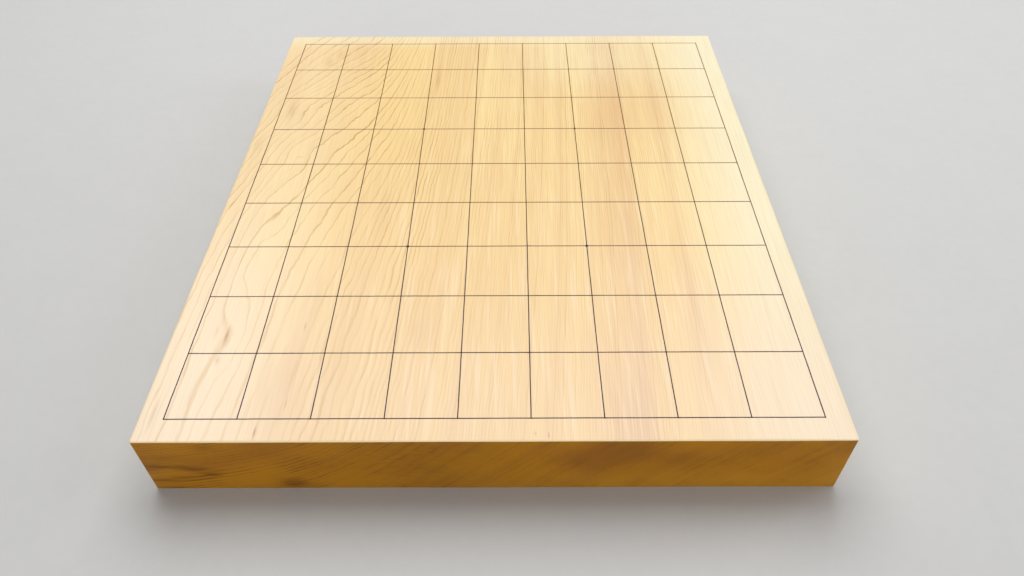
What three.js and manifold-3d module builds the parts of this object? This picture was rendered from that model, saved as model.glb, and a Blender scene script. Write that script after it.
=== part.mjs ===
// A shogi board for a table: one solid block of pale conifer wood, its top ruled with raised lacquer.
// Lengths are in millimetres and +Z is up. The origin is the middle of the underside, +X runs across
// the board and +Y runs from the near player to the far player.

import * as THREE from "three";
import { mergeVertices } from "three/addons/utils/BufferGeometryUtils.js";
import Module from "manifold-3d";

// The block, cut to the usual one shaku one sun by one shaku two sun.
const boardWidth = 333;
const boardLength = 364;
const boardThickness = 42.4;
const edgeRound = 0.8; // the arris sanded along every top and bottom edge
const cornerSoftening = 0.4; // how much rounder the four upright corners are than the arris
const edgeFacets = 3;

// The playing field. Its squares take what the margins leave.
const squaresAcross = 9;
const squaresAlong = 9;
const sideMargin = 12.15;
const endMargin = 12;

// A lacquer line is a low crowned film. Lines that run along the board are laid first.
const lineWidth = 0.6;
const lineHeight = 0.15;
const lacquerGap = 0.02; // clearance under each film and round what it crosses
const shoulderPlaceShare = 0.36; // of the line's width, from its middle to either shoulder
const shoulderHeightShare = 0.72; // of the line's height

// A line that runs across the board climbs over each line it meets.
const crossingFilm = 0.1; // lacquer over the crown of the line below
const rampLength = 1.2; // from the foot of the line below to where the climb starts
const footRiseShare = 0.35; // of the climb, reached at the foot of the line below
const shoulderRiseShare = 0.7; // of the climb, reached at its shoulder

// The four star points, drops of lacquer set on crossings of the lines.
const starInset = 3; // squares between the border and a star point
const starOverhang = 0.65; // from the line's edge to the rim of the drop
const starCap = 0.1; // lacquer over the crown of the crossing
const starRings = 5;
const starSides = 24;
const cutOverrun = 1;

const wood = { color: 0xe6c68f, roughness: 0.45, metalness: 0 };
const lacquer = { color: 0x1d1719, roughness: 0.25, metalness: 0 };

// Sizes that follow from the ones above.
const fieldWidth = boardWidth - 2 * sideMargin;
const fieldLength = boardLength - 2 * endMargin;
const squareWidth = fieldWidth / squaresAcross;
const squareLength = fieldLength / squaresAlong;
const shoulderPlace = shoulderPlaceShare * lineWidth;
const lineUnder = lacquerGap;
const lineCrown = lineUnder + lineHeight;
const crossingUnder = lineCrown + lacquerGap;
const crossingCrown = crossingUnder + crossingFilm;
const starRadius = lineWidth / 2 + starOverhang;
const starCrown = crossingCrown + lacquerGap + starCap;

const wasm = await Module();
wasm.setup();

// A closed geometry as a manifold solid, its shared vertices merged.
function solidOf(geometry) {
  const bare = geometry.clone();
  bare.deleteAttribute("normal");
  bare.deleteAttribute("uv");
  const merged = mergeVertices(bare);
  return new wasm.Manifold(
    new wasm.Mesh({
      numProp: 3,
      vertProperties: merged.attributes.position.array,
      triVerts: new Uint32Array(merged.index.array),
    }),
  );
}

// A manifold solid as a geometry.
function geometryOf(solid) {
  const mesh = solid.getMesh();
  const geometry = new THREE.BufferGeometry();
  geometry.setAttribute("position", new THREE.BufferAttribute(mesh.vertProperties, mesh.numProp));
  geometry.setIndex(new THREE.BufferAttribute(mesh.triVerts, 1));
  return geometry;
}

// Joins sections, each a ring of points that runs anticlockwise seen from +X, into a closed body.
function loft(sections) {
  const sides = sections[0].length;
  const positions = sections.flat().flatMap((point) => point.toArray());
  const index = [];
  for (let row = 0; row + 1 < sections.length; row += 1) {
    for (let side = 0; side < sides; side += 1) {
      const here = row * sides + side;
      const beside = row * sides + ((side + 1) % sides);
      index.push(here, beside, here + sides);
      index.push(beside, beside + sides, here + sides);
    }
  }
  const last = (sections.length - 1) * sides;
  for (let side = 1; side + 1 < sides; side += 1) {
    index.push(0, side + 1, side);
    index.push(last, last + side, last + side + 1);
  }
  const geometry = new THREE.BufferGeometry();
  geometry.setAttribute("position", new THREE.Float32BufferAttribute(positions, 3));
  geometry.setIndex(index);
  geometry.computeVertexNormals();
  return geometry;
}

// The line's section at one station: flat below, with two shoulders and a crown above.
function lineSection({ along, under, crown }) {
  const shoulder = under + shoulderHeightShare * (crown - under);
  return [
    new THREE.Vector3(along, -lineWidth / 2, under),
    new THREE.Vector3(along, lineWidth / 2, under),
    new THREE.Vector3(along, shoulderPlace, shoulder),
    new THREE.Vector3(along, 0, crown),
    new THREE.Vector3(along, -shoulderPlace, shoulder),
  ];
}

// The room that a line takes out of a drop over it: its section with the gap added, open below.
function clearanceSection({ along, under, crown }) {
  const half = lineWidth / 2 + lacquerGap;
  const place = shoulderPlace + lacquerGap;
  const shoulder = under + shoulderHeightShare * (crown - under) + lacquerGap;
  return [
    new THREE.Vector3(along, -half, -cutOverrun),
    new THREE.Vector3(along, half, -cutOverrun),
    new THREE.Vector3(along, place, shoulder),
    new THREE.Vector3(along, 0, crown + lacquerGap),
    new THREE.Vector3(along, -place, shoulder),
  ];
}

// Stations of a line laid flat on the wood, out to the edges of the two border lines over it.
function flatStations() {
  const end = (fieldLength + lineWidth) / 2;
  return [
    { along: -end, under: lineUnder, crown: lineCrown },
    { along: end, under: lineUnder, crown: lineCrown },
  ];
}

// Stations of a line that climbs over each line across its way. Each crossing is mirrored about its
// middle, and the first and last are cut short, so that the ends lie on the border lines' shoulders.
function bridgingStations() {
  const climb = crossingCrown - lineCrown;
  const foot = lineWidth / 2 + lacquerGap;
  const shoulder = shoulderPlace + lacquerGap;
  const shoulderUnder = lineUnder + shoulderHeightShare * lineHeight + lacquerGap;
  const upward = [
    { offset: -foot - rampLength, under: lineUnder, rise: 0 },
    { offset: -foot, under: lineUnder, rise: footRiseShare },
    { offset: -shoulder, under: shoulderUnder, rise: shoulderRiseShare },
  ];
  const downward = upward.map((step) => ({ ...step, offset: -step.offset })).reverse();
  const crossing = [...upward, { offset: 0, under: crossingUnder, rise: 1 }, ...downward];
  const stations = [];
  for (let file = 0; file <= squaresAcross; file += 1) {
    for (const { offset, under, rise } of crossing) {
      const along = (file - squaresAcross / 2) * squareWidth + offset;
      stations.push({ along, under, crown: lineCrown + climb * rise });
    }
  }
  const outsideShoulder = upward.length - 1;
  return stations.slice(outsideShoulder, -outsideShoulder);
}

// A drop of lacquer: a low dome on a flat underside.
function dropGeometry() {
  const profile = [new THREE.Vector2(0, 0)];
  for (let ring = starRings; ring >= 0; ring -= 1) {
    const angle = (ring / starRings) * (Math.PI / 2);
    const height = (starCrown - lacquerGap) * Math.cos(angle);
    profile.push(new THREE.Vector2(starRadius * Math.sin(angle), height));
  }
  const geometry = new THREE.LatheGeometry(profile, starSides);
  geometry.rotateX(Math.PI / 2);
  geometry.translate(0, 0, lacquerGap);
  return geometry;
}

// A star point at x, y of the field: the drop, less the room of the two lines that cross under it.
function starGeometry(x, y) {
  const across = loft(bridgingStations().map(clearanceSection)).translate(-x, 0, 0);
  const lengthwise = loft(flatStations().map(clearanceSection)).rotateZ(Math.PI / 2).translate(0, -y, 0);
  return geometryOf(solidOf(dropGeometry()).subtract(solidOf(across)).subtract(solidOf(lengthwise)));
}

// The wooden block, with its arrises and upright corners eased.
function blockGeometry() {
  const radius = edgeRound + cornerSoftening;
  const right = boardWidth / 2 - radius;
  const far = boardLength / 2 - radius;
  const outline = new THREE.Shape();
  outline.absarc(right, -far, radius, -Math.PI / 2, 0);
  outline.absarc(right, far, radius, 0, Math.PI / 2);
  outline.absarc(-right, far, radius, Math.PI / 2, Math.PI);
  outline.absarc(-right, -far, radius, Math.PI, 1.5 * Math.PI);
  const geometry = new THREE.ExtrudeGeometry(outline, {
    depth: boardThickness - 2 * edgeRound,
    bevelThickness: edgeRound,
    bevelSize: edgeRound,
    bevelOffset: -edgeRound,
    bevelSegments: edgeFacets,
    curveSegments: edgeFacets,
  });
  return geometry.translate(0, 0, edgeRound);
}

// A named piece with a material of its own.
function piece(name, geometry, finish) {
  const mesh = new THREE.Mesh(geometry, new THREE.MeshStandardMaterial(finish));
  mesh.name = name;
  return mesh;
}

// Adds the lines that run along the board, from left to right.
function addFileLines(field) {
  for (let file = 0; file <= squaresAcross; file += 1) {
    const line = piece(`file_line_${file + 1}`, loft(flatStations().map(lineSection)), lacquer);
    line.rotation.z = Math.PI / 2;
    line.position.x = (file - squaresAcross / 2) * squareWidth;
    field.add(line);
  }
}

// Adds the lines that run across the board, from near to far.
function addRankLines(field) {
  for (let rank = 0; rank <= squaresAlong; rank += 1) {
    const line = piece(`rank_line_${rank + 1}`, loft(bridgingStations().map(lineSection)), lacquer);
    line.position.y = (rank - squaresAlong / 2) * squareLength;
    field.add(line);
  }
}

// Adds the four star points.
function addStarPoints(field) {
  const x = fieldWidth / 2 - starInset * squareWidth;
  const y = fieldLength / 2 - starInset * squareLength;
  for (const [depthName, depthSide] of [["near", -1], ["far", 1]]) {
    for (const [sideName, side] of [["left", -1], ["right", 1]]) {
      const drop = starGeometry(side * x, depthSide * y);
      const star = piece(`star_point_${depthName}_${sideName}`, drop, lacquer);
      star.position.set(side * x, depthSide * y, 0);
      field.add(star);
    }
  }
}

const board = new THREE.Group();
board.add(piece("board_block", blockGeometry(), wood));

const field = new THREE.Group();
field.position.z = boardThickness;
addFileLines(field);
addRankLines(field);
addStarPoints(field);
board.add(field);

export default board;
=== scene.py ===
# %% [markdown]
# # A board for shogi
#
# The real thing is one heavy block of pale conifer wood, with its lines laid on as raised strokes of
# black lacquer. It has no frame and no join, so the eye goes by the wood, its crisp edges and the thin
# strokes, and the lesson spends its time there.
#
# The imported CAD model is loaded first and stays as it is. Every piece made below takes the place of
# one of its nodes, in metres and in the same frame, and is a little less even than the CAD solid.

import bpy
import numpy as np
from mathutils import Matrix, Vector


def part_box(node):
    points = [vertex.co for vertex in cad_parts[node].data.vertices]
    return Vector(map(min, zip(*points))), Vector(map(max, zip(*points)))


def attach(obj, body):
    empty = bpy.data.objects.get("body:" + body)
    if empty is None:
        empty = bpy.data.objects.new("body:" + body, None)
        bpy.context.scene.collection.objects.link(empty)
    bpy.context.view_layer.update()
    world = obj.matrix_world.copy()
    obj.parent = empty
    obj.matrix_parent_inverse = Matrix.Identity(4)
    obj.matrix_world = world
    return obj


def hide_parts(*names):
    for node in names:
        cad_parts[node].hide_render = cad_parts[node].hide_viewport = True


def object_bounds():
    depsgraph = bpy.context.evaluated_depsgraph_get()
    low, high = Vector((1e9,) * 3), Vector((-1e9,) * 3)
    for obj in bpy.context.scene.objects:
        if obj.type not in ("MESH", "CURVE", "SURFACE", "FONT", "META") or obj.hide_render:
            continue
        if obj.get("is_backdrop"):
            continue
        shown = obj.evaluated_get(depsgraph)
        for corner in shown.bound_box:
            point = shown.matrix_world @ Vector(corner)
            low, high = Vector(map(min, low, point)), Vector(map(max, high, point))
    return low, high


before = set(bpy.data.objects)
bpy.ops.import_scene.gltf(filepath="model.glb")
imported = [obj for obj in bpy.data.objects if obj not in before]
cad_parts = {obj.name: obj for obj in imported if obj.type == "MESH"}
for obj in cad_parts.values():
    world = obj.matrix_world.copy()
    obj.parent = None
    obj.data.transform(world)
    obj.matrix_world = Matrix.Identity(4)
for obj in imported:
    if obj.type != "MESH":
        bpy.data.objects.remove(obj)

cad_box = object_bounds()
MM = 0.001
block_low, block_high = (np.array(corner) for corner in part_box("board_block"))
WIDTH, LENGTH, _ = (block_high - block_low) / MM
TOP = block_high[2] / MM
print(f"the block is {WIDTH:.1f} x {LENGTH:.1f} x {TOP:.1f} mm")

# %% [markdown]
# ## The camera
#
# The board is seen from the near player's seat, 42 degrees above the floor. A photograph trimmed after
# it was taken has its vanishing lines off the middle. Tilting the camera would turn the sides wrongly,
# so a lens shift gives the lost strip back. The rest follows from the board's corners and lines.

# %% Set the camera
EYE = (8.8, -371.8, 357.3)  # mm
AIM = (8.5, -21.4, 42.4)  # mm
ROLL = -0.23  # degrees
LENS = 27.2  # mm, on a sensor 36 mm wide
SENSOR = 36.0
LENS_SHIFT = -0.081  # of the picture's width
NEAREST = 0.01  # m

def aimed(eye, aim, roll=0.0):
    """A place and turn that look from eye to aim, both in mm, then roll by some degrees about that line."""
    towards = Vector(aim) - Vector(eye)
    turn = towards.to_track_quat("-Z", "Y").to_matrix().to_4x4()
    tilt = Matrix.Rotation(np.radians(roll), 4, "Z")
    return Matrix.Translation(Vector(eye) * MM) @ turn @ tilt

camera_data = bpy.data.cameras.new("seat_camera")
camera_data.lens = LENS
camera_data.sensor_width = SENSOR
camera_data.shift_y = LENS_SHIFT
camera_data.clip_start = NEAREST
camera = bpy.data.objects.new("seat_camera", camera_data)
camera.matrix_world = aimed(EYE, AIM, ROLL)
bpy.context.scene.collection.objects.link(camera)
bpy.context.scene.camera = camera
print("the camera stands", round((Vector(EYE) - Vector(AIM)).length), "mm from the board")

# %% [markdown]
# ## Light
#
# Satin wood shows its colour best under one broad, soft panel. It hangs above and a little behind the
# board: the playing field is bright, and the near end, turned away from it, falls into a deep amber. A
# weaker panel pales the right side. A third, low in front and narrow in its beam, lifts the near end.
# A sun lamp would be simpler, but it would cut hard shadows.

# %% Hang the soft panels
PANELS = {
    # name: (place in mm, width and length in mm, spread in degrees, watts)
    "overhead_panel": ((-60, 580, 1280), (1500, 1100), 180, 18.2),
    "right_panel": ((1250, 150, 700), (700, 900), 180, 4.0),
    "front_panel": ((-150, -1750, 400), (1800, 400), 100, 3.0),
}
BOARD_MIDDLE = (0.0, 0.0, TOP)
AIR_TINT = (0.96, 0.98, 1.0, 1.0)
AIR_STRENGTH = 0.36

for panel_name, (place, (panel_width, panel_length), spread, watts) in PANELS.items():
    panel_data = bpy.data.lights.new(panel_name, "AREA")
    panel_data.shape = "RECTANGLE"
    panel_data.size = panel_width * MM
    panel_data.size_y = panel_length * MM
    panel_data.energy = watts
    panel_data.spread = np.radians(spread)
    panel = bpy.data.objects.new(panel_name, panel_data)
    panel.matrix_world = aimed(place, BOARD_MIDDLE)
    panel.visible_camera = False
    bpy.context.scene.collection.objects.link(panel)

world = bpy.data.worlds.new("studio_air")
world.use_nodes = True
air = world.node_tree.nodes["Background"]
air.inputs["Color"].default_value = AIR_TINT
air.inputs["Strength"].default_value = AIR_STRENGTH
bpy.context.scene.world = world
bpy.context.scene.view_settings.view_transform = "Standard"
print(len(PANELS), "panels hang")

# %% [markdown]
# ## Surfaces as grids of points
#
# The pieces could be made from Blender's own cubes and cylinders. Instead each is a stack of rings of
# points, joined by quads, with a fan of triangles over the first ring and the last, so that a whole
# shape is one formula on arrays. A ring runs anticlockwise seen from the end that the stack grows
# towards, so the faces look outwards.

# %% Turn rings of points into a mesh
def wall(rows, columns):
    """Quads between rings: each joins a point, the one beside it and the two over them."""
    row, column = np.meshgrid(np.arange(rows - 1), np.arange(columns), indexing="ij")
    here, beside = row * columns + column, row * columns + (column + 1) % columns
    return np.stack([here, beside, beside + columns, here + columns], axis=-1).reshape(-1, 4)

def fan(first, columns, middle, upwards):
    """Triangles from the ring that starts at the first point to a point in its middle."""
    here = first + np.arange(columns)
    after = first + (np.arange(columns) + 1) % columns
    pair = [here, after] if upwards else [after, here]
    return np.stack([*pair, np.full(columns, middle)], axis=-1)

def shaped(name, points, faces, material):
    """A smooth-shaded object from points in mm and arrays of faces."""
    mesh = bpy.data.meshes.new(name)
    mesh.from_pydata((points * MM).tolist(), [], [face for some in faces for face in some.tolist()])
    mesh.shade_smooth()
    mesh.materials.append(material)
    made = bpy.data.objects.new(name, mesh)
    bpy.context.scene.collection.objects.link(made)
    return made

def closed_body(name, rings, material, thinness=None):
    """A body from an array rings[row, column, xyz] in mm, closed by a point in the middle of both end
    rings. A thinness for each ring is kept as an attribute that the material reads."""
    rows, columns, _ = rings.shape
    count = rows * columns
    points = np.concatenate([rings.reshape(-1, 3), rings[[0, -1]].mean(axis=1)])
    first_fan, last_fan = fan(0, columns, count, False), fan(count - columns, columns, count + 1, True)
    body = shaped(name, points, [wall(rows, columns), first_fan, last_fan], material)
    if thinness is not None:
        kept = np.concatenate([np.repeat(thinness, columns), thinness[[0, -1]]]).astype(np.float32)
        body.data.attributes.new("thinness", "FLOAT", "POINT").data.foreach_set("value", kept)
    return body

print("a wall of 3 rings of 8 points has", len(wall(3, 8)), "quads")

# %% [markdown]
# ## Nodes without clutter
#
# A material is arithmetic on the place of a point. It could be wired by hand in the Shader Editor.
# Here a node's output is a `Wire`, and the signs between wires and numbers each add one Math node, so
# that a formula in the text is the same formula in the material.

# %% Helpers for node trees
def add(tree, kind, inputs=(), **settings):
    """Adds a node, sets its properties and then feeds its inputs, each known by name or number."""
    made = tree.nodes.new(kind)
    for setting, value in settings.items():
        setattr(made, setting, value)
    for key, value in dict(inputs).items():
        feed(made.inputs[key], value)
    return made

def feed(socket, value):
    """Joins a wire to a socket, or sets the socket to a plain value."""
    if isinstance(value, Wire):
        value.tree.links.new(value.socket, socket)
    else:
        socket.default_value = value

def math(operation, wire_last=False):
    """A method of a wire that adds a Math node, fed with the wire and then the other values, if any."""
    def method(wire, *others):
        values = [*others, wire] if wire_last else [wire, *others]
        return Wire(add(wire.tree, "ShaderNodeMath", enumerate(values), operation=operation))
    return method

class Wire:
    """One output of a node, which can stand in a formula like a number."""
    def __init__(self, made, output=0):
        self.tree, self.socket = made.id_data, made.outputs[output]

    __add__ = __radd__ = math("ADD")
    __mul__ = __rmul__ = math("MULTIPLY")
    __sub__, __rsub__ = math("SUBTRACT"), math("SUBTRACT", wire_last=True)
    __truediv__, __rtruediv__ = math("DIVIDE"), math("DIVIDE", wire_last=True)
    __pow__, __abs__, exp, log = math("POWER"), math("ABSOLUTE"), math("EXPONENT"), math("LOGARITHM")
    root, floor, fraction = math("SQRT"), math("FLOOR"), math("FRACT")

def rise(value, start, end, low=0.0, high=1.0):
    """A smooth step of the value, from low at start to high at end."""
    limits = enumerate((value, start, end, low, high))
    return Wire(add(value.tree, "ShaderNodeMapRange", limits, interpolation_type="SMOOTHSTEP"))

def parts_of(vector):
    """The three parts of a vector."""
    made = add(vector.tree, "ShaderNodeSeparateXYZ", {0: vector})
    return [Wire(made, axis) for axis in range(3)]

def blend(share, first, second):
    """A colour between two others."""
    inputs = {"Factor": share, "A": first, "B": second}
    return Wire(add(share.tree, "ShaderNodeMix", inputs, data_type="RGBA", clamp_factor=True), "Result")

print("wires take + - * / ** and abs, and have exp, log, root, floor and fraction")

# %% [markdown]
# ## Noise with a size in millimetres
#
# A fibre is thin and long. Blender's Noise texture could be stretched by trial. Here the size of a
# patch is given in mm across the board, along it and into it, so that a ruler could check each number.

# %% Helpers for noise and place
def clouds(place, sizes, detail=0.0):
    """Cloudy noise, 0 to 1 about a half, whose patches have the given sizes along X, Y and Z."""
    inputs = {"Vector": place, "Scale": [1 / size for size in sizes]}
    stretched = Wire(add(place.tree, "ShaderNodeMapping", inputs, vector_type="POINT"))
    inputs = {"Vector": stretched, "Scale": 1.0, "Detail": detail}
    return Wire(add(place.tree, "ShaderNodeTexNoise", inputs))

def give_or_take(noise, size):
    """Noise about a half, moved to lie about nothing, times a size."""
    return (noise - 0.5) * size

def millimetres(tree):
    """The place of a point in mm, from the near left corner of the playing face: X across the board,
    Y away from the near player, Z above that face."""
    place = Wire(add(tree, "ShaderNodeTexCoord"), "Object")
    inputs = {"Vector": place, "Scale": [1 / MM] * 3, "Location": (WIDTH / 2, LENGTH / 2, -TOP)}
    return Wire(add(tree, "ShaderNodeMapping", inputs, vector_type="POINT"))

print(f"materials count mm from the corner at {-WIDTH / 2:.1f}, {-LENGTH / 2:.1f}, {TOP:.1f}")

# %% [markdown]
# ## A group for all three finishes: fine unevenness
#
# Nothing in a workshop is perfectly even: wood, lacquer and the paper on the floor scatter light a
# little differently from spot to spot. Each finish could have noise of its own, but one group serves
# all three, and each material places it with its own grain size.

# %% Build the group "fine_unevenness"
FINE, BROAD = 1.0, 4.0  # of the given size
LAYER_DETAIL = 2.0

def new_group(name, inputs, outputs):
    """An empty node group, its first node and its last. All outputs are plain numbers."""
    group = bpy.data.node_groups.new(name, "ShaderNodeTree")
    for socket_name, socket_type in inputs.items():
        group.interface.new_socket(socket_name, in_out="INPUT", socket_type=socket_type)
    for socket_name in outputs:
        group.interface.new_socket(socket_name, in_out="OUTPUT", socket_type="NodeSocketFloat")
    return group, add(group, "NodeGroupInput"), add(group, "NodeGroupOutput")

def build_unevenness():
    """Cloudy noise of the given size and of four times that size, half and half."""
    inputs = {"Place": "NodeSocketVector", "Size": "NodeSocketFloat"}
    group, came, goes = new_group("fine_unevenness", inputs, ["Amount"])
    place, size = Wire(came, "Place"), Wire(came, "Size")
    layers = []
    for ratio in (FINE, BROAD):
        inputs = {"Vector": place, "Scale": 1 / ratio / size, "Detail": LAYER_DETAIL}
        layers.append(Wire(add(group, "ShaderNodeTexNoise", inputs)))
    feed(goes.inputs["Amount"], (layers[0] + layers[1]) * 0.5)
    return group

unevenness = build_unevenness()

def uneven(place, size):
    """Places the group in a material and gives its amount, 0 to 1 about a half."""
    inputs = {"Place": place, "Size": size}
    return Wire(add(place.tree, "ShaderNodeGroup", inputs, node_tree=unevenness), "Amount")

print("group", unevenness.name, "has", len(unevenness.nodes), "nodes")

# %% [markdown]
# ## How the tree grew
#
# Wood grain isn't drawn on a surface. It is a solid pattern of growth rings that the saw and the plane
# cut open: waves on the playing face, arcs on the ends, straight lines on the sides. A picture wrapped
# round the block would never meet at the edges, so the pattern is worked out at every point of space.
#
# 1. At the right edge the rings run straight away from the player. Towards the middle they lean over a
#    little, and on the left, far from the player, they swing to the right as they go.
# 2. Taking lean and swing off gives the place on the near edge where the same ring starts.
# 3. The rings lie almost flat under the left edge and stand near 45 degrees on the right. `lie` turns
#    the place on the edge into a depth, and the depth of the point itself is added.
# 4. A curve counts the rings down to that depth: wide ones on the left, fine ones further out.

# %% Describe how the rings bend
SWING_START = 150.0  # mm from the near edge, where the rings on the left begin to swing
SWING_ONSET = 54.0  # mm over which they do
SWING_RATE = 0.383  # mm of swing for each mm onwards
SWING_EDGE = 109.0  # mm from the left, where the swing has halved
SWING_EASE = 9.0  # mm over which it fades
LEAN = 48.7  # mm by which the rings in the middle would lean on a very long board
LEAN_SLOWS = 400.0  # mm over which that lean slows down
LEAN_FROM = 48.0  # mm from the left, where it has grown to half
LEAN_FROM_EASE = 15.0
LEAN_TO = 249.0  # mm from the left, where it has halved again
LEAN_TO_EASE = 48.0

# Hills in the start place, each (mm across, mm along, half width, half length, height).
SWIRLS = [
    (23, 270, 17, 19, 8.0), (32, 62, 10, 34, -8.2), (31, 60, 10, 12, -1.2), (26, 110, 9, 70, 7.3),
    (56, 275, 19, 42, 6.2), (34, 221, 26, 19, 5.7), (38, 214, 2.6, 7, -4.0),
]
print("the rings bend round", len(SWIRLS), "swirls")

# %% Describe how deep the rings lie, and count them
FLAT_LIE = 0.12  # slope of the rings under the left edge
STEEP_LIE = 1.0  # what is added to it on the right
STEEP_FROM = 84.0  # mm from the left, about which it is added
STEEP_EASE = 25.0  # mm over which it grows

def lie(start):
    """Depth in mm that belongs to a place on the near edge: a slope that is small on the left and grows
    smoothly to the right, written with the soft ramp ln(1 + exp x)."""
    return FLAT_LIE * start + STEEP_LIE * STEEP_EASE * np.log1p(np.exp((start - STEEP_FROM) / STEEP_EASE))

# Where the plain rings on the left start, in mm from the near left corner, one year apart.
PLAIN_RINGS = np.array([
    -70, -64, -57, -50, -45, -37, -31, -27, -23, -19, -14, -9, -2, 2.5, 7, 12,
    21.5, 26, 33, 41.5, 48.5, 55, 63, 69, 73, 77, 82, 86.5, 92.5, 96.5, 100.5, 104])
# Further right they are too fine to tell apart: places, and rings counted from the last plain one.
FINE_PLACES = np.array([104.0, 118.0, 150.0, 210.0, 333.0, 400.0])
FINE_RINGS = np.array([0.0, 5.0, 19.0, 60.0, 150.0, 200.0])
print(len(PLAIN_RINGS), "plain rings and", int(FINE_RINGS[-2]), "fine ones meet the near edge")

# %% [markdown]
# ## Rings in nodes: the start place
#
# The numbers above become nodes. A Wave texture would bend all its rings alike. A few smooth hills
# bend them only where the real board has a swirl or an eye, and noise keeps any line from being true.
#
# From here on, four numbers in brackets that go to `rise` are a smooth step: from, to, before, after.

# %% Find where a ring starts
WAVE_PATCH, WAVE = (9, 17, 9), 3.0  # mm, and its size in mm
JAG_PATCH, JAG_ALONG = (3, 5, 3), (100, 230, 0.8, 1.3)  # mm, and its size in mm, which grows along
CALM_ACROSS = (90, 190, 1.0, 0.35)  # the share that is left of both

def hills(place, rows, fade=1.0):
    """The sum of smooth hills, each (centre, centre, half width, half length, height): its height times
    exp of minus the squared distance in widths. Hills fade along a third axis, where there is one."""
    total = 0.0
    for centre_x, centre_y, half_x, half_y, height in rows:
        square = 0.0
        for axis, centre, width in zip(place, (centre_x, centre_y, 0.0), (half_x, half_y, fade)):
            square = square + ((axis - centre) / width) ** 2.0
        total = total + height * (square * -1.0).exp()
    return total

def soft_step(value, middle, ease):
    """A step 1 / (1 + exp x), which falls for a positive ease and rises for a negative one."""
    return 1.0 / (((value - middle) / ease).exp() + 1.0)

def start_place(place, across, along):
    """Steps 1 and 2. The swing is a ramp with a round foot, (x + root of x squared and foot squared) / 2.
    The lean is 1 less exp of minus the distance. Each fades across the board by soft steps."""
    past = along - SWING_START
    swing = (past + (past * past + SWING_ONSET ** 2).root()) * (SWING_RATE / 2)
    swing = swing * soft_step(across, SWING_EDGE, SWING_EASE)
    grown = 1.0 - (along / -LEAN_SLOWS).exp()
    middle = soft_step(across, LEAN_FROM, -LEAN_FROM_EASE) * soft_step(across, LEAN_TO, LEAN_TO_EASE)
    start = across - swing - grown * middle * LEAN + hills([across, along], SWIRLS)
    wave = give_or_take(clouds(place, WAVE_PATCH), WAVE)
    jag = give_or_take(clouds(place, JAG_PATCH), rise(along, *JAG_ALONG))
    return start + (wave + jag) * rise(across, *CALM_ACROSS)

print("a ring wanders by up to", WAVE / 2, "mm, and is jagged besides")

# %% [markdown]
# ## Rings in nodes: the count
#
# A Color Ramp of dark and light stops could draw the rings, but it holds only 32. Counting is better:
# the whole part of the count names the year, and the rest says how far into that year a point lies.
# Good and bad years stretch the fine rings a little.

# %% Count the rings down to a point
YEARS_PATCH = 3.0  # mm of depth
YEARS_CHANGE = (lie(100.0), lie(125.0), 0.0, 1.4)  # rings, by the depth

def ring_depth(start, deep):
    """Step 3: the depth that belongs to the start place, with the depth of the point itself added."""
    ramp = (((start - STEEP_FROM) / STEEP_EASE).exp() + 1.0).log(np.e)
    return start * FLAT_LIE + ramp * (STEEP_LIE * STEEP_EASE) + deep

def curve_through(value, places, heights):
    """A line from point to point, level before the first and after the last."""
    run, climb = places[-1] - places[0], heights[-1] - heights[0]
    made = add(value.tree, "ShaderNodeFloatCurve", {"Value": (value - places[0]) / run})
    made.mapping.extend = "HORIZONTAL"
    curve = made.mapping.curves[0]
    spots = list(zip((places - places[0]) / run, (heights - heights[0]) / climb))
    curve.points[0].location, curve.points[1].location = spots[0], spots[-1]
    for spot in spots[1:-1]:
        curve.points.new(*spot)
    for point in curve.points:
        point.handle_type = "VECTOR"
    made.mapping.update()
    return Wire(made) * climb + heights[0]

def counted(depth):
    """Step 4: the rings down to a depth, the plain ones and then the fine ones."""
    plain = curve_through(depth, lie(PLAIN_RINGS), np.arange(len(PLAIN_RINGS), dtype=float))
    fine = curve_through(depth, lie(FINE_PLACES), FINE_RINGS)
    only_depth = Wire(add(depth.tree, "ShaderNodeCombineXYZ", {0: depth}))
    years = clouds(only_depth, (YEARS_PATCH, 1, 1), detail=1.0)
    return plain + fine + years * rise(depth, *YEARS_CHANGE)

print("the rings under the right edge lie", round(float(lie(WIDTH))), "mm deep")

# %% [markdown]
# ## Rings in nodes: late wood
#
# The dark line in a ring is that year's late wood. It comes in softly and ends sharply, and it is
# stronger in some years and stretches than in others. A sine would make it as wide as the pale wood, so
# two smooth steps shape it. A group holds it all, because the face and the ends both use it.

# %% Build the group "growth_rings"
YEAR_SEED = 1768.0
LATE_SHARE = (lie(20.0), lie(110.0), 0.16, 0.4)  # of the ring, by its depth
LATE_SHARE_NEAR = (140, 30, 0.0, 0.2)  # more of it, by the mm along
DARKEST = (140, 30, 0.95, 0.85)  # where in the ring it is darkest, by the mm along
WEAKEST_YEAR = 0.2
STRETCH_PATCH, STRETCH = (7, 28, 7), (0.3, 0.7, 0.5, 1.25)  # mm, and the strength by the noise
YEAR_FADES_IN = (0.0, 0.8, 0.3, 1.0)  # by the part of the year

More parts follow.
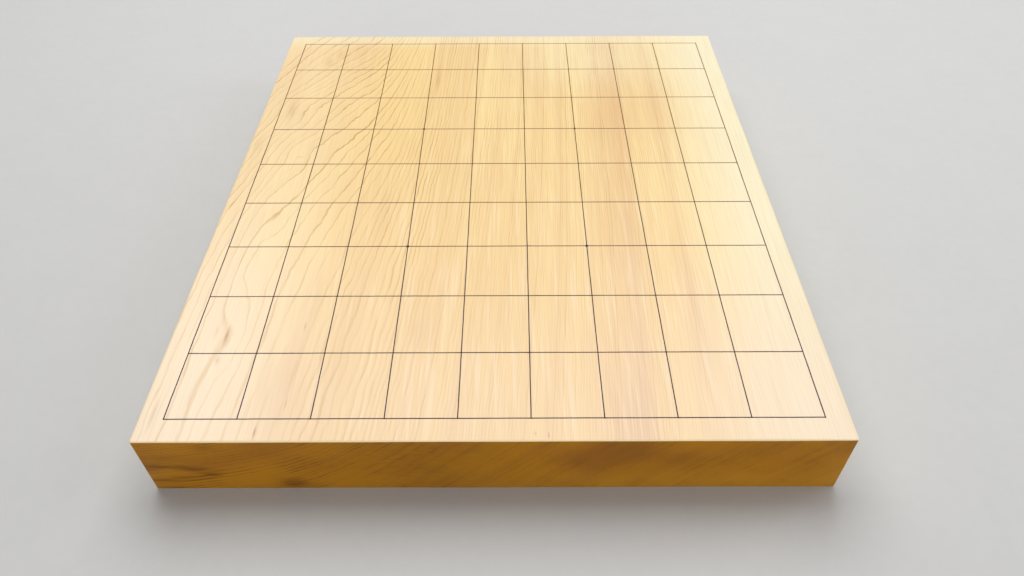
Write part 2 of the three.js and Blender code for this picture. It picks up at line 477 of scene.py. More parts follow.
def build_growth_rings():
    """Late wood, the year's own chance and the depth that the rings were counted from."""
    inputs, outputs = {"Place": "NodeSocketVector"}, ["Late wood", "Year", "Depth"]
    group, came, goes = new_group("growth_rings", inputs, outputs)
    place = Wire(came, "Place")
    across, along, above = parts_of(place)
    depth = ring_depth(start_place(place, across, along), above * -1.0)
    count = counted(depth)
    into = count.fraction()
    chance = add(group, "ShaderNodeTexWhiteNoise", {"W": count.floor() + YEAR_SEED}, noise_dimensions="1D")
    year = Wire(chance, "Value")
    share = rise(depth, *LATE_SHARE) + rise(along, *LATE_SHARE_NEAR)
    darkest = rise(along, *DARKEST)
    late = rise(into, 1.0 - share, darkest) * rise(into, darkest, 1.0, 1.0, 0.0)
    strength = WEAKEST_YEAR + (1 - WEAKEST_YEAR) * year
    stretch = rise(clouds(place, STRETCH_PATCH, detail=1.0), *STRETCH)
    feed(goes.inputs["Late wood"], late * strength * stretch)
    feed(goes.inputs["Year"], year * rise(into, *YEAR_FADES_IN))
    feed(goes.inputs["Depth"], depth)
    return group

growth_rings = build_growth_rings()
print("group", growth_rings.name, "has", len(growth_rings.nodes), "nodes")

# %% [markdown]
# ## The wood: what its colours depend on
#
# The wood is honey-coloured, with a pink cast in broad bands of years. The bands could be painted on
# the face, but they have to turn the corner on to the ends, so they are a ramp through the same depth
# that counts the rings.

# %% Read the rings and the bands at a point
EARLY_WOOD = (0.86, 0.635, 0.288, 1.0)
PINK_WOOD = (0.735, 0.465, 0.215, 1.0)
# Pinkness of the broad bands, by the place on the near edge where their rings start.
BANDS = [
    (-70, 0.30), (-40, 0.40), (-12, 0.25), (15, 0.20), (48, 0.25), (57, 0.48), (66, 0.30), (83, 0.50),
    (98, 0.28), (118, 0.45), (128, 0.35), (136, 0.02), (148, 0.42), (156, 0.20), (163, 0.38), (168, 0.25),
    (179, 0.45), (184, 0.05), (191, 0.40), (206, 0.0), (213, 0.35), (229, 0.72), (234, 0.76), (237, 1.0),
    (241, 0.68), (247, 0.28), (258, 0.22), (267, 0.62), (276, 0.28), (286, 0.10), (300, 0.25), (333, 0.20)]
FIBRE = (0.35, 22, 0.35)  # patches of noise, in mm
STREAK, STREAK_PINK = (2.4, 130, 2.4), 0.5
CLOUD, CLOUD_PINK = (40, 110, 25), 0.8
COMMON_YEAR = 0.4  # a year above this chance is pinker than its neighbours
YEAR_PINK = (lie(90.0), lie(130.0), 0.45, 0.2)  # by the depth

def banded(depth):
    """Pinkness of the band that a ring depth falls in, from a ramp through the list above."""
    places = lie(np.array([place for place, _ in BANDS], float))
    low, high = places[0], places[-1]
    made = add(depth.tree, "ShaderNodeValToRGB", {"Fac": (depth - low) / (high - low)})
    made.color_ramp.interpolation = "EASE"
    made.color_ramp.elements[0].position = 0.0
    made.color_ramp.elements[1].position = 1.0
    for place in places[1:-1]:
        made.color_ramp.elements.new((place - low) / (high - low))
    for element, (_, pinkness) in zip(made.color_ramp.elements, BANDS):
        element.color = (pinkness, pinkness, pinkness, 1.0)
    return Wire(made, "Color")

def read_wood(tree):
    """All that the wood's colours depend on, by name: place in mm, rings, noise and pinkness."""
    place = millimetres(tree)
    rings = add(tree, "ShaderNodeGroup", {"Place": place}, node_tree=growth_rings)
    late, year, depth = (Wire(rings, name) for name in ("Late wood", "Year", "Depth"))
    across, along, above = parts_of(place)
    fibre, cloud = clouds(place, FIBRE, detail=1.0), clouds(place, CLOUD)
    pinkness = banded(depth) + give_or_take(clouds(place, STREAK, detail=1.0), STREAK_PINK)
    pinkness = pinkness + (year - COMMON_YEAR) * rise(depth, *YEAR_PINK) + give_or_take(cloud, CLOUD_PINK)
    return {"place": place, "across": across, "along": along, "deep": above * -1.0, "late": late,
            "depth": depth, "fibre": fibre, "cloud": cloud, "pinkness": pinkness}

print(len(BANDS), "places set the broad bands")

# %% [markdown]
# ## The wood: tints of the playing face
#
# The face is tan in the middle, warm to the left of it, with paler outer wood on the far right and a
# paler strip along the far edge. Towards the near edge, and most at its left and right ends, it is paler
# and creamier: partly wood turned unevenly by light and wax, partly a painted highlight of the satin
# face's glare. Painting a texture would fix these to one surface. A list says where each tint lies, and
# they go over one another like washes.

# %% Lay the tints
OUTER_WOOD = (0.87, 0.78, 0.54, 1.0)
# Partly painted highlight: this pale tint near the player stands in part for the satin face's glare.
NEAR_TONE_AND_HIGHLIGHT = (0.845, 0.60, 0.415, 1.0)
TAN_WOOD = (0.76, 0.49, 0.18, 1.0)
# Cream is the colour of pale flecks, and near the left and right ends of the near edge also a painted
# highlight.
CREAM_TONE_AND_HIGHLIGHT = (0.93, 0.76, 0.57, 1.0)
ROSY_WOOD = (0.72, 0.50, 0.33, 1.0)
WARM_WOOD = (0.84, 0.575, 0.235, 1.0)
# A tint's share is the sum of its hills and the product of its steps: (what it goes by, from, to,
# before, after).
FACE_TINTS = [
    (OUTER_WOOD, [(243, 334, 72, 42, 0.42)], [("depth", lie(258.0), lie(328.0), 0.0, 0.9)]),
    # Partly painted highlight: the near tint and the two cream tints below lighten the near part and its left
    # and right ends.
    (NEAR_TONE_AND_HIGHLIGHT, [], [("along", 150, 0, 0.0, 0.45)]),
    (TAN_WOOD, [(170, 112, 85, 90, 0.52), (62, 62, 22, 62, 0.2)], []),
    (CREAM_TONE_AND_HIGHLIGHT, [], [("across", 95, 15, 0.0, 0.68), ("along", 200, 0, 0.35, 1.1)]),
    (CREAM_TONE_AND_HIGHLIGHT, [], [("across", 245, 325, 0.0, 0.6), ("along", 130, 0, 0.0, 1.0)]),
    (ROSY_WOOD, [], [("pinkness", 0.5, 1.1, 0.0, 1.0), ("along", 170, 30, 0.0, 0.6)]),
    (WARM_WOOD, [(98, 240, 34, 95, 0.7)], []),
    (OUTER_WOOD, [], [("along", 343, 360, 0.0, 0.55)]),
]

def steps(found, rows):
    """The product of smooth steps."""
    product = 1.0
    for what, *limits in rows:
        product = product * rise(found[what], *limits)
    return product

def tinted(found, colour, tints):
    """The colour with each tint of a list laid over it."""
    for tint, tint_hills, tint_steps in tints:
        share = hills([found["across"], found["along"]], tint_hills)
        colour = blend(share + steps(found, tint_steps) if tint_steps else share, colour, tint)
    return colour

print(len(FACE_TINTS), "tints lie on the face")

# %% [markdown]
# ## The wood: lines, spots and fibre
#
# Over the tints come the dark late wood, small spots and soft patches, paler flecks and the fibre, in
# streaks a third of a millimetre wide and centimetres long. One noise for all would look like dust, so
# each has its own size, and a list of hills makes the lines bolder or fainter from place to place.

# %% Colour the playing face
LATE_WOOD = (0.54, 0.31, 0.06, 1.0)
SPOT_WOOD = (0.50, 0.26, 0.12, 1.0)
STRAW_WOOD = (0.95, 0.79, 0.44, 1.0)
LINE_STEPS = [("depth", lie(70.0), lie(160.0), 1.0, 0.55), ("along", 20, 220, 0.42, 1.2),
              ("across", 270, 310, 1.0, 0.4)]
LINE_HILLS = [(88, 262, 20, 90, 1.1), (134, 285, 27, 130, -0.55), (29, 205, 20, 90, -0.38),
              (98, 60, 18, 90, -0.25), (60, 300, 14, 60, 0.25)]
# Small dark spots and soft dark patches, as hills of darkness.
SPOTS = [
    (28.3, 61, 0.9, 4.8, 0.85), (22.5, 64, 1, 4.5, 0.25), (28, 45.5, 1.2, 2.5, 0.35), (66, 30, 6.5, 22, 0.15),
    (69.5, 78, 5, 24, 0.12), (54.5, 28, 2.5, 20, 0.12), (90, 58, 6, 45, 0.08), (128, 62, 5, 14, 0.12),
    (98, 165, 4.5, 30, 0.08), (56.3, 5, 0.5, 2.8, 0.9), (67.5, 67, 0.5, 2.2, 0.5), (67.5, 20, 0.4, 3, 0.35),
    (191.5, 3, 0.4, 1.6, 0.7), (185.5, 4, 0.4, 1, 0.5), (6.5, 15, 0.9, 8, 0.35), (20, 262, 3.5, 12, 0.3),
    (6, 221, 2.5, 9, 0.2), (120.5, 300, 1.8, 14, 0.35), (35, 325, 3, 6, 0.25), (42, 336, 3, 6, 0.2),
]
SPOT_DEPTH = 2.5  # mm
PALE_PATCH, PALE_SHARE = (2.2, 60, 2.2), (0.5, 0.72, 0.0, 0.3)  # mm, and the share by the noise
PALE_STEPS = [("along", 170, 330, 1.0, 0.55), ("across", 60, 130, 0.3, 1.0)]
STRAW_ALONG = (60, 240)  # mm, over which the flecks turn from cream to straw
FLECK = (0.9, 34, 0.9)  # mm
DARKEST_GREY, FIBRE_GREY, FLECK_GREY = 0.88, 0.08, 0.16

def face_colour(found):
    """Early wood to pink wood by the pinkness, then tints, lines, spots and pale flecks, times the
    grey of the fibre."""
    place, surface = found["place"], [found["across"], found["along"]]
    colour = tinted(found, blend(found["pinkness"], EARLY_WOOD, PINK_WOOD), FACE_TINTS)
    line = found["late"] * steps(found, LINE_STEPS) * (hills(surface, LINE_HILLS) + 1.0)
    colour = blend(line, colour, LATE_WOOD)
    colour = blend(hills([*surface, found["deep"]], SPOTS, SPOT_DEPTH), colour, SPOT_WOOD)
    pale = rise(clouds(place, PALE_PATCH, detail=2.0), *PALE_SHARE) * steps(found, PALE_STEPS)
    colour = blend(pale, colour, blend(rise(found["along"], *STRAW_ALONG), CREAM_TONE_AND_HIGHLIGHT, STRAW_WOOD))
    fleck = clouds(place, FLECK, detail=1.0)
    grey = found["fibre"] * FIBRE_GREY + fleck * FLECK_GREY + DARKEST_GREY
    inputs = {"Factor": 1.0, "A": colour, "B": grey}
    return Wire(add(place.tree, "ShaderNodeMix", inputs, data_type="RGBA", blend_type="MULTIPLY"), "Result")

print(len(SPOTS), "spots and patches lie on the face")

# %% [markdown]
# ## The wood: the ends
#
# Cut across, the fibres stand like straws and drink in light and wax, so an end is a deep amber with
# the rings running through it as arcs. A second material there would meet the first in a hard line, so
# one material holds both colours, and the direction of the surface chooses.

# %% Colour the end grain
END_WOOD = (0.45, 0.188, 0.005, 1.0)
END_DARK_WOOD = (0.33, 0.125, 0.01, 1.0)
# Painted light: a paler amber lifts the lower right of the near end, standing in for light off the floor.
END_PAINTED_LIGHT_WOOD = (0.56, 0.265, 0.025, 1.0)
END_LATE_WOOD = (0.20, 0.075, 0.006, 1.0)
END_CLOUD_DARK, END_PINK_DARK = 1.6, 0.8
# Where that painted light lies: low on the end, and more to the right.
END_PAINTED_LIGHT_STEPS = [("deep", 16, 42, 0.0, 0.6), ("across", 60, 260, 0.35, 1.0)]
END_LINE_PATCH, END_LINE_COMES = (22, 30, 14), (0.35, 0.65, 0.25, 1.0)  # mm, and strength by the noise
# Dark streaks and patches of the near end, as hills of darkness: mm across, mm deep and so on.
END_SPOTS = [
    (13, 21.5, 9, 1.7, 1.0), (24, 24, 7, 1.7, 1.1), (31, 28.5, 4.5, 1.8, 1.1), (0, 20, 8, 7, 0.6),
    (8, 34, 13, 1.6, 0.7), (18, 31, 9, 1.4, 0.6), (69, 37, 7, 5, 0.9), (33, 5, 6, 3, 0.4),
    (12, 14, 8, 3, 0.35), (10, 41, 9, 1.2, 0.6), (231, 22, 14, 22, 0.14), (125, 14, 40, 30, 0.36),
]
END_SPOT_LENGTH = 9.0  # mm into the board
END_STREAK, END_STREAK_COMES = (9, 30, 1.6), (0.3, 0.65, 0.6, 1.1)

def end_colour(found):
    """Amber, darker in clouds and pink bands, with painted light that pales it low on the right, and with
    late wood and streaks.
    """
    place = found["place"]
    dark = give_or_take(found["cloud"], END_CLOUD_DARK) + found["pinkness"] * END_PINK_DARK
    colour = blend(dark, END_WOOD, END_DARK_WOOD)
    # painted light: paler low on the right of the end
    colour = blend(steps(found, END_PAINTED_LIGHT_STEPS), colour, END_PAINTED_LIGHT_WOOD)
    line = found["late"] * rise(clouds(place, END_LINE_PATCH), *END_LINE_COMES)
    colour = blend(line, colour, END_LATE_WOOD)
    streaks = hills([found["across"], found["deep"], found["along"]], END_SPOTS, END_SPOT_LENGTH)
    streaks = streaks * rise(clouds(place, END_STREAK, detail=1.0), *END_STREAK_COMES)
    return blend(streaks, colour, END_LATE_WOOD)

print(len(END_SPOTS), "streaks and patches lie on the near end")

# %% [markdown]
# ## The wood: gloss and relief
#
# The planed face has been rubbed with wax: a satin base, a thin soft coat and fibres that can only just
# be felt. A coat on everything would look like varnish, so it fades out on the matt ends. The eased
# arris round the top gets a painted highlight: a pale colour laid where the surface faces partly up.

# %% Put the wood together
# Painted highlight: a pale colour on the eased arris, where the surface faces partly up.
ARRIS_HIGHLIGHT = (0.97, 0.80, 0.46, 1.0)
ENDNESS = (0.7, 0.97)  # by how far the surface faces along Y
ARRIS_HIGHLIGHT_BELOW, ARRIS_HIGHLIGHT_ABOVE = (0.15, 0.45), (0.99, 0.9)  # by how far it faces up
ARRIS_HIGHLIGHT_SHARE = 0.8
SATIN, SATIN_CHANGE, SATIN_GRAIN = 0.36, 0.12, 1.2  # roughness, its change and the change's size in mm
LATE_GLOSS, END_MATT = 0.05, 0.12  # roughness off the late wood and on to the ends
WOOD_SPECULAR, WAX_COAT, WAX_ROUGHNESS = 0.12, 0.8, 0.3
FIBRE_RELIEF, RELIEF_STRENGTH = 0.02, 0.5  # mm, and share
LATE_RELIEF = 0.4  # of a fibre's height

def new_material(name, specular):
    """A material with one Principled shader, and its tree and shader."""
    material = bpy.data.materials.new(name)
    material.use_nodes = True
    shader = material.node_tree.nodes["Principled BSDF"]
    shader.inputs["Specular IOR Level"].default_value = specular
    return material, material.node_tree, shader

def relief(shader, height, distance, strength):
    """Gives the shader a bump of the height, whose full height is a distance in mm."""
    inputs = {"Height": height, "Distance": distance * MM, "Strength": strength}
    feed(shader.inputs["Normal"], Wire(add(height.tree, "ShaderNodeBump", inputs)))

def make_wood():
    material, tree, shader = new_material("planed_conifer_wood", WOOD_SPECULAR)
    found = read_wood(tree)
    _, facing_along, facing_up = parts_of(Wire(add(tree, "ShaderNodeTexCoord"), "Normal"))
    endness = rise(abs(facing_along), *ENDNESS)
    # painted highlight on the arris, chosen by how far the surface faces up
    arris_highlight = rise(facing_up, *ARRIS_HIGHLIGHT_BELOW) * rise(facing_up, *ARRIS_HIGHLIGHT_ABOVE) * ARRIS_HIGHLIGHT_SHARE
    skin = blend(endness, face_colour(found), end_colour(found))
    feed(shader.inputs["Base Color"], blend(arris_highlight, skin, ARRIS_HIGHLIGHT))
    satin = uneven(found["place"], SATIN_GRAIN) * SATIN_CHANGE + SATIN - found["late"] * LATE_GLOSS
    feed(shader.inputs["Roughness"], satin + endness * END_MATT)
    feed(shader.inputs["Coat Weight"], (1.0 - endness) * WAX_COAT)
    shader.inputs["Coat Roughness"].default_value = WAX_ROUGHNESS
    relief(shader, found["fibre"] + found["late"] * LATE_RELIEF, FIBRE_RELIEF, RELIEF_STRENGTH)
    return material

wood = make_wood()
print("wood has", len(wood.node_tree.nodes), "nodes of its own")

# %% [markdown]
# ## The lacquer
#
# Natural black lacquer is nearly black where it lies thick, and a warm brown shows through where it is
# thin. One dark colour would do from far off. But these strokes brown towards the far player, so each
# keeps the thinness of its film at every point, which the material reads.

# %% Make the lacquer
# Painted reflection: the violet tint in this black stands in for the pale sky in the lacquer's gloss.
LACQUER_BLACK = (0.034, 0.012, 0.042, 1.0)
LACQUER_BROWN = (0.26, 0.12, 0.012, 1.0)
LACQUER_SPECULAR = 0.2
FILM_CLOUD, FILM_CHANGE = (14, 14, 5), 0.4  # mm, and the change of thinness
GLOSS, GLOSS_CHANGE, GLOSS_GRAIN = 0.2, 0.2, 0.25  # roughness, its change and the change's size in mm
FILM_RELIEF, FILM_RELIEF_STRENGTH = 0.01, 0.4  # mm, and share

def make_lacquer():
    material, tree, shader = new_material("black_lacquer", LACQUER_SPECULAR)
    place = millimetres(tree)
    thinness = Wire(add(tree, "ShaderNodeAttribute", attribute_name="thinness"), "Fac")
    brown = thinness + give_or_take(clouds(place, FILM_CLOUD, detail=1.0), FILM_CHANGE)
    fine = uneven(place, GLOSS_GRAIN)
    feed(shader.inputs["Base Color"], blend(brown, LACQUER_BLACK, LACQUER_BROWN))
    feed(shader.inputs["Roughness"], fine * GLOSS_CHANGE + GLOSS)
    relief(shader, fine, FILM_RELIEF, FILM_RELIEF_STRENGTH)
    return material

lacquer = make_lacquer()
print("lacquer has", len(lacquer.node_tree.nodes), "nodes of its own")

# %% [markdown]
# ## The block: its outline
#
# A block could be a cube with a Bevel modifier, but a hand takes the sharpness off its edges with
# paper round a cork, and never evenly. So the block is one profile carried round the board's outline:
# across the underside, up over the lower edge, up the side, over the upper edge and in.

# %% Draw the block's outline
CORNER_ROUND = 1.2  # mm
LEAST_ROUND = 0.05  # mm, left of it on the innermost outline
STATION = 2.5  # mm between stations
CORNER_STATIONS = 9
CORNERS = ((1, -1), (1, 1), (-1, 1), (-1, -1))
HEADINGS = ((0, 1), (-1, 0), (0, -1), (1, 0))

def outline_plan():
    """Each station's place between the corner centres, -1 to 1, and the way it faces."""
    side_x, side_y, turn = [], [], []
    for quarter, ((corner_x, corner_y), (ahead_x, ahead_y)) in enumerate(zip(CORNERS, HEADINGS)):
        angles = np.radians(90 * (quarter - 1)) + np.linspace(0, np.pi / 2, CORNER_STATIONS)
        run = (LENGTH, WIDTH)[quarter % 2]
        between = np.linspace(-1, 1, int(run / STATION))[1:-1]
        level = np.ones(len(between))
        side_x += [np.full(CORNER_STATIONS, corner_x), between * ahead_x if ahead_x else level * corner_x]
        side_y += [np.full(CORNER_STATIONS, corner_y), between * ahead_y if ahead_y else level * corner_y]
        turn += [angles, level * angles[-1]]
    return np.concatenate(side_x), np.concatenate(side_y), np.concatenate(turn)

SIDE_X, SIDE_Y, TURN = outline_plan()

def outline(inset):
    """The board's outline as [station, xy], moved inwards by an inset for each station: four straight
    sides and four corner arcs, whose radius is what the inset leaves of it."""
    radius = np.maximum(CORNER_ROUND - inset, LEAST_ROUND)
    x = SIDE_X * (WIDTH / 2 - inset - radius) + np.cos(TURN) * radius
    y = SIDE_Y * (LENGTH / 2 - inset - radius) + np.sin(TURN) * radius
    return np.stack([x, y], axis=-1)

print("the outline has", len(TURN), "stations")

# %% [markdown]
# ## The block: its profile
#
# The profile is a list of insets and heights, one pair for each ring. A quarter circle rounds each
# edge. One radius all round would look machined, and a random one like frost, but a hand drifts, so the
# radius follows a sum of long waves with seeded phases. One more ring close behind each quarter circle
# keeps smooth shading from bending the light on the flat faces.

# %% Carry the block's profile round its outline
EDGE_ROUND, EDGE_CHANGE = 0.8, 0.16  # mm, and mm more or less
EDGE_STEPS = 7
CLOSE_BEHIND, FAR_BEHIND = 0.8, 4.0  # mm from the rounding, and from the side
SIDE_SHARES = (0.03, 0.35, 0.65, 0.97)  # of the side's height, where its rings lie
LOWER_WAVES, LOWER_SEED = (1 / 3, 1 / 7, 1 / 11, 1 / 19), 4  # of the way round
UPPER_WAVES, UPPER_SEED = (1 / 2, 1 / 5, 1 / 13, 1 / 23), 9

def waver(place, wavelengths, seed):
    """Waves of the given lengths with seeded phases, summed and scaled to about -1 to 1."""
    phases = np.random.default_rng(seed).uniform(0, 2 * np.pi, len(wavelengths))
    waves = [np.sin(2 * np.pi * place / length + phase) for length, phase in zip(wavelengths, phases)]
    return np.sum(waves, axis=0) / np.sqrt(len(wavelengths))

def block_rings():
    """Rings of the block from the underside to the top. On a quarter circle the inset is its radius
    times 1 less a sine, and the height its radius times 1 less a cosine."""
    way = np.arange(len(TURN)) / len(TURN)
    lower = EDGE_ROUND + EDGE_CHANGE * waver(way, LOWER_WAVES, LOWER_SEED)
    upper = EDGE_ROUND + EDGE_CHANGE * waver(way, UPPER_WAVES, UPPER_SEED)
    level = np.ones(len(TURN))
    quarter = np.linspace(0, np.pi / 2, EDGE_STEPS)[:, None]
    inset = [level * FAR_BEHIND, lower + CLOSE_BEHIND, *(lower * (1 - np.sin(quarter)))]
    height = [level * 0, level * 0, *(lower * (1 - np.cos(quarter)))]
    inset += [level * 0 for _ in SIDE_SHARES]
    height += [lower + (TOP - lower - upper) * share for share in SIDE_SHARES]
    inset += [*(upper * (1 - np.cos(quarter))), upper + CLOSE_BEHIND, level * FAR_BEHIND]
    height += [*(TOP - upper * (1 - np.sin(quarter))), level * TOP, level * TOP]
    return np.stack([np.column_stack([outline(i), h]) for i, h in zip(inset, height)])

wood_block = closed_body("wood_block", block_rings(), wood)
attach(wood_block, "root")
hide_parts("board_block")
print("wood_block has", len(wood_block.data.polygons), "faces")

# %% [markdown]
# ## The lines: what the CAD says
#
# Ten strokes run away from the player and are left to set. Ten more are laid across and climb over
# them. Flat black strips would be simpler, but low light shows films that stand up. Their places and
# sizes are read from the CAD nodes, so that they always agree with it.

# %% Read the lines' places
COUNT = range(1, 11)
file_box = [np.array(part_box(f"file_line_{n}")) / MM for n in COUNT]
rank_box = [np.array(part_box(f"rank_line_{n}")) / MM for n in COUNT]
FILES = [(low[0] + high[0]) / 2 for low, high in file_box]
RANKS = [(low[1] + high[1]) / 2 for low, high in rank_box]
LINE_WIDTH = file_box[0][1][0] - file_box[0][0][0]
LINE_FOOT = file_box[0][0][2] - TOP
LINE_CROWN = file_box[0][1][2] - TOP
CLIMB_CROWN = rank_box[0][1][2] - TOP
print(f"strokes {LINE_WIDTH:.2f} mm wide, {LINE_CROWN - LINE_FOOT:.2f} mm high,"
      f" squares {FILES[1] - FILES[0]:.1f} x {RANKS[1] - RANKS[0]:.1f} mm")

# %% [markdown]
# ## The lines: where a stroke needs points
#
# A stroke is simple between the crossings and busy on them. Even steps would waste points on the first
# or starve the second, so stations crowd round each crossing, spaced by a hyperbolic sine.

# %% Place the stations of a stroke
COARSE_STEP = 3.0  # mm
CROSSING_STATIONS = 15
CROSSING_REACH = 1.6  # mm to either side
CROWDING = 2.6  # how much closer they stand in the middle
END_STATIONS = np.array([0.0, 0.02, 0.06, 0.12, 0.2, 0.3])  # mm from the end
END_CLEAR = 0.35  # mm from the end, where the other stations stop

def distance_to(along, crossings):
    """How far each place is from the nearest crossing, in mm."""
    return np.abs(along[:, None] - np.array(crossings)[None, :]).min(axis=1)

def stations(start, end, crossings):
    """Places along a stroke: coarse steps, a crowd round each crossing and a few at both ends."""
    spread = np.linspace(-CROWDING, CROWDING, CROSSING_STATIONS)
    crowd = np.sinh(spread) / np.sinh(CROWDING) * CROSSING_REACH
    crowds = [crossing + crowd for crossing in crossings]
    marks = np.concatenate([np.arange(start, end, COARSE_STEP), *crowds])
    marks = marks[(marks > start + END_CLEAR) & (marks < end - END_CLEAR)]
    return np.unique(np.round(np.concatenate([start + END_STATIONS, marks, end - END_STATIONS]), 3))

print("a stroke has", len(stations(RANKS[0], RANKS[-1], RANKS)), "stations")

# %% [markdown]
# ## The lines: one section, carried along
#
# A curve with a bevel would have one even section. Here a function makes the section at every station:
# half an ellipse on a foot that follows what lies under it, a little wider and lower here and there,
# and wider where fresh lacquer gathered against a set line. The strokes are drawn a shade finer than
# the CAD's lines, and those across finer still.

# %% Shape a stroke
SECTION_POINTS = 11
FULL_WIDTH = 0.90  # of the CAD line's width
FINER_ACROSS = 0.09  # less than that, for the strokes across
CLIMB_EASE = 0.3  # mm over which a stroke climbs
GATHER = 0.1  # wider, on a crossing
BLADE_CHANGE = 0.04  # more or less wide, along the way
HAND_CHANGE = 0.03  # more or less high, and mm to either side
HAND_WAVES = (83, 37, 17, 7.3)  # mm
BLADE_WAVES = (61, 29, 11, 5.1)  # mm
BLADE_SEEDS = 100  # added to the hand's seed
TAPER = 0.3  # mm over which an end rises
TAPER_WIDTH = 0.55  # of the full width, at its very end
LEAST_TAPER = 0.02
LEAST_FILM = 0.03  # mm
ARCH = 0.8  # power of the sine: below 1 the crown is flatter than an ellipse

def foot_over(along, crossings):
    """The foot of a stroke over set ones: each is half an ellipse, with the CAD's clearance over it."""
    offset = distance_to(along, crossings) / (LINE_WIDTH / 2)
    below = (LINE_CROWN - LINE_FOOT) * np.sqrt(np.clip(1 - offset ** 2, 0, 1))
    return LINE_FOOT + below + LINE_FOOT * (offset < 1)

def stroke_rings(start, end, crossings, climbs, seed):
    """Rings [station, column, (along, across, up)] of one stroke. Across is half the width times the
    cosine of an angle, and up is the crown's height over the foot times a power of its sine. A stroke
    that climbs swells near a crossing by 1 / (1 + (distance / ease) squared), and both ends taper by a
    quarter circle."""
    along = stations(start, end, crossings)
    near = climbs / (1 + (distance_to(along, crossings) / CLIMB_EASE) ** 2)
    hand = waver(along, HAND_WAVES, seed)
    blade = waver(along, BLADE_WAVES, seed + BLADE_SEEDS)
    inwards = np.clip(np.minimum(along - start, end - along) / TAPER, 0, 1)
    taper = np.sqrt(np.clip(1 - (1 - inwards) ** 2, LEAST_TAPER, 1))
    full = FULL_WIDTH - FINER_ACROSS * climbs + BLADE_CHANGE * blade + GATHER * near
    half = LINE_WIDTH / 2 * full * (TAPER_WIDTH + (1 - TAPER_WIDTH) * taper)
    crown = LINE_CROWN + (CLIMB_CROWN - LINE_CROWN) * near
    foot = foot_over(along, crossings) if climbs else np.full_like(along, LINE_FOOT)
    thick = np.maximum(crown - foot, LEAST_FILM) * (1 - HAND_CHANGE + HAND_CHANGE * hand) * taper
    angle = np.linspace(0, np.pi, SECTION_POINTS)
    across = half[:, None] * np.cos(angle)[None, :] + HAND_CHANGE * hand[:, None]
    up = TOP + foot[:, None] + thick[:, None] * np.sin(angle)[None, :] ** ARCH
    return np.stack([np.broadcast_to(along[:, None], across.shape), across, up], axis=-1)

print("a film is", round((LINE_CROWN - LINE_FOOT) * 1000), "thousandths of a mm high")

# %% [markdown]
# ## The lines: twenty strokes
#
# The strokes away from the player are the same shape turned a quarter round: along becomes Y, and
# across becomes minus X. They brown slowly on their way. A stroke across has one thinness, which grows
# from line to line, as if the blade had been loaded only once.

# %% Lay the twenty strokes
FILE_THINS_FROM, FILE_THINS_OVER, FILE_THINNEST = 80.0, 220.0, 0.75  # mm from the near edge, mm, share
RANK_THINS_FROM, RANK_THINS_OVER = 70.0, 270.0
FILE_SEED, RANK_SEED = 10, 30

def finish_piece(piece, node):
    """Hangs the piece under the root body and hides the CAD node that it stands for."""
    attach(piece, "root")
    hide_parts(node)

for number, middle, (low, high) in zip(COUNT, FILES, file_box):
    rings = stroke_rings(low[1], high[1], RANKS, 0, FILE_SEED + number)
    turned = np.stack([middle - rings[..., 1], rings[..., 0], rings[..., 2]], axis=-1)
    from_near = rings[:, 0, 0] + LENGTH / 2
    thinness = FILE_THINNEST * np.clip((from_near - FILE_THINS_FROM) / FILE_THINS_OVER, 0, 1)
    finish_piece(closed_body(f"file_stroke_{number}", turned, lacquer, thinness), f"file_line_{number}")

for number, middle, (low, high) in zip(COUNT, RANKS, rank_box):
    rings = stroke_rings(low[0], high[0], FILES, 1, RANK_SEED + number)
    moved = rings + np.array([0.0, middle, 0.0])
    thinness = np.full(len(rings), np.clip((middle + LENGTH / 2 - RANK_THINS_FROM) / RANK_THINS_OVER, 0, 1))
    finish_piece(closed_body(f"rank_stroke_{number}", moved, lacquer, thinness), f"rank_line_{number}")
print("laid", len(FILES), "strokes along and", len(RANKS), "across")

# %% [markdown]
# ## The star points
#
# Four crossings carry a drop of lacquer let fall from the tip of a stick. A flattened sphere would sink
# through the strokes, so this is a low dome that settles over the crossing, with a rim that isn't quite
# round and that rides up over the strokes. The far drops are thinner, and so browner.

# %% Let the four drops fall
DROP_COLUMNS, DROP_STEPS, DROP_SEED = 48, 9, 50
DROP_WAVES = (1 / 2, 1 / 3, 1 / 5)  # of the way round
RIM_CHANGE = 0.03
FOOT_FROM, DOME_TO = 0.12, 0.06  # the innermost rings: of the radius, and radians from the crown
SKIN = 0.02  # mm of lacquer over the strokes at the least
SETTLE = 6  # power that rounds the meeting of dome and strokes
THINNESS = {"near": 0.05, "far": 0.4}

def strokes_under(x, y):
    """Height of the two strokes that cross at 0, 0: each is half an ellipse across its width, and the
    upper one lies on the lower."""
    half = LINE_WIDTH / 2
    lower = (LINE_CROWN - LINE_FOOT) * np.sqrt(np.clip(1 - (x / half) ** 2, 0, 1))
    climb = LINE_CROWN + (CLIMB_CROWN - LINE_CROWN) / (1 + (x / CLIMB_EASE) ** 2)
    upper = climb * np.sqrt(np.clip(1 - (y / half) ** 2, 0, 1))
    return np.maximum(np.maximum(lower, upper), 0) + LINE_FOOT

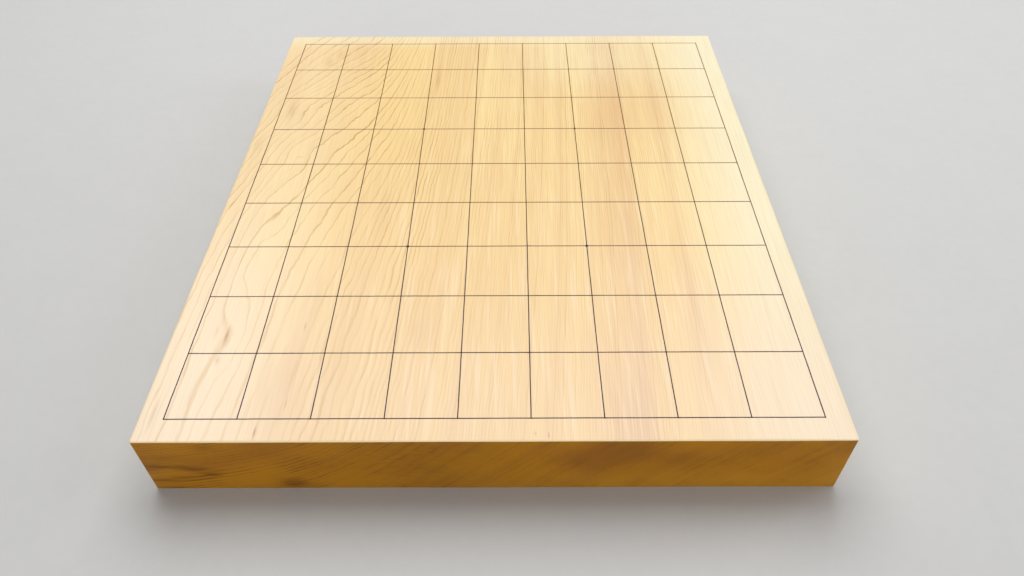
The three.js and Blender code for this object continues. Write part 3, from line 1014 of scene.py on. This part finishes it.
def drop_rings(centre, radius, crown, seed):
    """Rings of a drop: out along its foot, which lies on the strokes, and back over its dome, whose
    height is the root of 1 less the squared share of the radius. Dome and strokes are joined as the
    sixth root of the sum of their sixth powers."""
    angle = np.linspace(0, 2 * np.pi, DROP_COLUMNS, endpoint=False)
    rim = radius * (1 - RIM_CHANGE + RIM_CHANGE * waver(angle / (2 * np.pi), DROP_WAVES, seed))
    outwards = np.linspace(FOOT_FROM, 1, DROP_STEPS)[:, None]
    inwards = np.sin(np.linspace(np.pi / 2, DOME_TO, 2 * DROP_STEPS))[:, None]
    share = np.concatenate([outwards, inwards])
    x, y = share * rim * np.cos(angle), share * rim * np.sin(angle)
    foot = strokes_under(x[:DROP_STEPS], y[:DROP_STEPS])
    skin = strokes_under(x[DROP_STEPS:], y[DROP_STEPS:]) + SKIN
    dome = crown * np.sqrt(np.clip(1 - inwards ** 2, 0, 1))
    over = np.minimum((dome ** SETTLE + skin ** SETTLE) ** (1 / SETTLE), crown)
    return np.stack([centre[0] + x, centre[1] + y, TOP + np.concatenate([foot, over])], axis=-1)

names = [(depth, side) for depth in ("near", "far") for side in ("left", "right")]
for number, (depth_name, side_name) in enumerate(names):
    node = f"star_point_{depth_name}_{side_name}"
    low, high = np.array(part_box(node)) / MM
    rings = drop_rings((low + high) / 2, (high[0] - low[0]) / 2, high[2] - TOP, DROP_SEED + number)
    thinness = np.full(len(rings), THINNESS[depth_name])
    finish_piece(closed_body(f"star_drop_{depth_name}_{side_name}", rings, lacquer, thinness), node)
print("four drops,", round((high[0] - low[0]), 2), "mm across")

# %% [markdown]
# ## The floor
#
# A plane would end in a horizon. This sheet of pale matt paper lies flat under the board and curls up
# far away on every side: its height grows with the square of the distance past the flat.

# %% Roll out the paper
PAPER = (0.60, 0.595, 0.58, 1.0)
PAPER_SHADE = (0.56, 0.555, 0.545, 1.0)
PAPER_SPECULAR = 0.3
PAPER_MATT, PAPER_CHANGE, PAPER_GRAIN = 0.72, 0.16, 6.0  # roughness, its change and that one's size in mm
PAPER_FLAT, PAPER_RADIUS = 1700.0, 4500.0  # mm
PAPER_CURL = 0.00025  # mm of height for each square mm past the flat
FIRST_RING, FLAT_RINGS, CURL_STEP, CURL_RINGS, SPOKES = 60.0, 12, 90.0, 30, 96

def make_paper():
    material, tree, shader = new_material("pale_paper", PAPER_SPECULAR)
    mottle = uneven(millimetres(tree), PAPER_GRAIN)
    feed(shader.inputs["Base Color"], blend(mottle, PAPER, PAPER_SHADE))
    feed(shader.inputs["Roughness"], mottle * PAPER_CHANGE + PAPER_MATT)
    return material

def paper_rings():
    """A polar grid [ring, spoke, xyz] whose height grows with the square of the distance past the flat."""
    flat = np.linspace(FIRST_RING, PAPER_FLAT, FLAT_RINGS)
    curl = np.linspace(PAPER_FLAT + CURL_STEP, PAPER_RADIUS, CURL_RINGS)
    angle = np.linspace(0, 2 * np.pi, SPOKES, endpoint=False)
    radius, turn = np.meshgrid(np.concatenate([flat, curl]), angle, indexing="ij")
    height = PAPER_CURL * np.clip(radius - PAPER_FLAT, 0, None) ** 2
    return np.stack([radius * np.cos(turn), -radius * np.sin(turn), height], axis=-1)

rings = paper_rings()
points = np.concatenate([rings.reshape(-1, 3), np.zeros((1, 3))])
faces = [wall(len(rings), SPOKES), fan(0, SPOKES, len(points) - 1, False)]
paper = shaped("paper_floor", points, faces, make_paper())
paper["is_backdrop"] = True
print("the paper is", PAPER_RADIUS * 2 * MM, "m across")

# %% [markdown]
# ## Measure the board
#
# The dressed board is built to the CAD model's size. The eye could judge how well, but two boxes printed
# side by side say it better.

# %% Print the sizes
visual_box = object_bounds()
sizes = {
    "cad": [[float(value) for value in corner] for corner in cad_box],
    "visual": [[float(value) for value in corner] for corner in visual_box],
}
for box_name, corners in sizes.items():
    print(box_name, [round((high - low) / MM, 2) for low, high in zip(*corners)], "mm")
